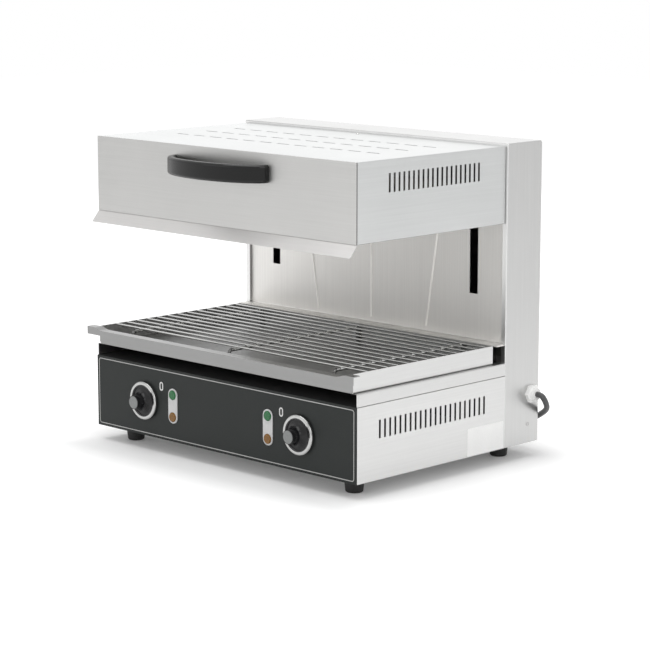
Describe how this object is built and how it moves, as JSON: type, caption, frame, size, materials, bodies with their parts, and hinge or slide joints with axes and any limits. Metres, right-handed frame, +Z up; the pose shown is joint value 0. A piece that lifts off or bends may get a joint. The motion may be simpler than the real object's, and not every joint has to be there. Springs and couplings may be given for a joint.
{
  "type": "salamander grill",
  "caption": "Electric salamander grill with a counterbalanced lifting hood over a drip tray and wire rack, two thermostat knobs with lamps, and a mains lead.",
  "frame": {"origin": "on the surface that the feet stand on, below the middle of the body's box", "axes": "+X to the user's right, +Y from the front panel to the column, +Z up"},
  "size_m": [0.6188, 0.6086, 0.4973],
  "materials": {
    "stainless": "fine brushed satin",
    "inner_steel": "plain zinc-grey mill finish",
    "bright_bar": "ground bright bar",
    "iron": "raw dark iron",
    "panel_black": "satin black",
    "knob_black": "gloss",
    "knob_chrome": "polished",
    "knob_silver": "spun satin",
    "lamp_white": "gloss",
    "lens_green": "clear tinted",
    "lens_amber": "clear tinted",
    "handle_black": "satin moulded",
    "foot_rubber": "matte",
    "control_plastic": "moulded",
    "block_plastic": "glazed look",
    "reflector_sheet": "dull sheet",
    "wool": "pressed mineral wool",
    "element_steel": "dull oxidised",
    "bronze": "turned",
    "pulley_nylon": "turned nylon",
    "rope_wire": "stranded wire",
    "rack_chrome": "plated wire",
    "gland_nylon": "moulded nylon",
    "cord_rubber": "matte sheath",
    "plug_rubber": "moulded",
    "pin_brass": "plated",
    "tie_plastic": "moulded"
  },
  "bodies": {
    "chassis": {"feet": "foot_rubber", "base_floor": "stainless", "base_side_left": "stainless", "base_side_right": "stainless", "tray_deck": "stainless", "front_panel": "panel_black", "lamp_plates": "lamp_white", "green_lamps": "lens_green", "amber_lamps": "lens_amber", "terminal_block": "block_plastic", "column_shell": "stainless", "column_cover": "stainless", "back_wall": "stainless", "low_beam": "inner_steel", "top_beam": "inner_steel", "guide_rods": "bright_bar", "pulley_axles": "bright_bar", "weight_guides": "inner_steel", "thermostat_left": "control_plastic", "thermostat_right": "control_plastic", "rope_left": "rope_wire", "rope_right": "rope_wire", "cord_gland": "gland_nylon", "power_cord": "cord_rubber", "cord_coil": "cord_rubber", "cord_tie": "tie_plastic", "plug_body": "plug_rubber", "plug_pins": "pin_brass"},
    "hood": {"carriage": "inner_steel", "carriage_bushes": "bronze", "hood_arms": "inner_steel", "hood_shell": "stainless", "hood_front": "stainless", "hood_rear": "stainless", "visor": "stainless", "reflector": "reflector_sheet", "insulation": "wool", "element_left": "element_steel", "element_right": "element_steel", "element_supports": "inner_steel", "handle": "handle_black"},
    "counterweight": {"counterweight": "iron"},
    "pulley_left": {"pulley_left": "pulley_nylon"},
    "pulley_right": {"pulley_right": "pulley_nylon"},
    "drip_tray": {"drip_tray": "stainless"},
    "rack": {"rack_rods": "rack_chrome", "rack_bars": "rack_chrome", "rack_feet": "rack_chrome"},
    "knob_left": {"knob_ring_left": "knob_chrome", "knob_grip_left": "knob_black", "knob_cap_left": "knob_silver", "knob_shaft_left": "bright_bar"},
    "knob_right": {"knob_ring_right": "knob_chrome", "knob_grip_right": "knob_black", "knob_cap_right": "knob_silver", "knob_shaft_right": "bright_bar"}
  },
  "joints": [
    {"name": "hood_lift", "type": "slide", "parent": "chassis", "child": "hood", "axis": [0, 0, 1], "range_m": [-0.135, 0], "deforming": ["rope_left", "rope_right"]},
    {"name": "weight_lift", "type": "slide", "parent": "chassis", "child": "counterweight", "axis": [0, 0, 1], "range_m": [0, 0.135]},
    {"name": "tray_slide", "type": "slide", "parent": "chassis", "child": "drip_tray", "axis": [0, -1, 0], "range_m": [0, 0.25]},
    {"name": "rack_lift", "type": "slide", "parent": "drip_tray", "child": "rack", "axis": [0, 0, 1], "range_m": [0, 0.025]},
    {"name": "pulley_turn_left", "type": "hinge", "parent": "chassis", "child": "pulley_left", "pos_m": [-0.096, 0.1966, 0.4563], "axis": [1, 0, 0], "range_deg": [0, 520]},
    {"name": "pulley_turn_right", "type": "hinge", "parent": "chassis", "child": "pulley_right", "pos_m": [0.096, 0.1966, 0.4563], "axis": [1, 0, 0], "range_deg": [0, 520]},
    {"name": "knob_turn_left", "type": "hinge", "parent": "chassis", "child": "knob_left", "pos_m": [-0.174, -0.1853, 0.0812], "axis": [0, 1, 0], "range_deg": [0, 270]},
    {"name": "knob_turn_right", "type": "hinge", "parent": "chassis", "child": "knob_right", "pos_m": [0.174, -0.1853, 0.0812], "axis": [0, 1, 0], "range_deg": [0, 270]}
  ],
  "couplings": [
    {"joint": "weight_lift", "follows": "hood_lift", "ratio": -1},
    {"joint": "pulley_turn_left", "follows": "hood_lift", "rad_per_m": -66.667},
    {"joint": "pulley_turn_right", "follows": "hood_lift", "rad_per_m": -66.667}
  ]
}
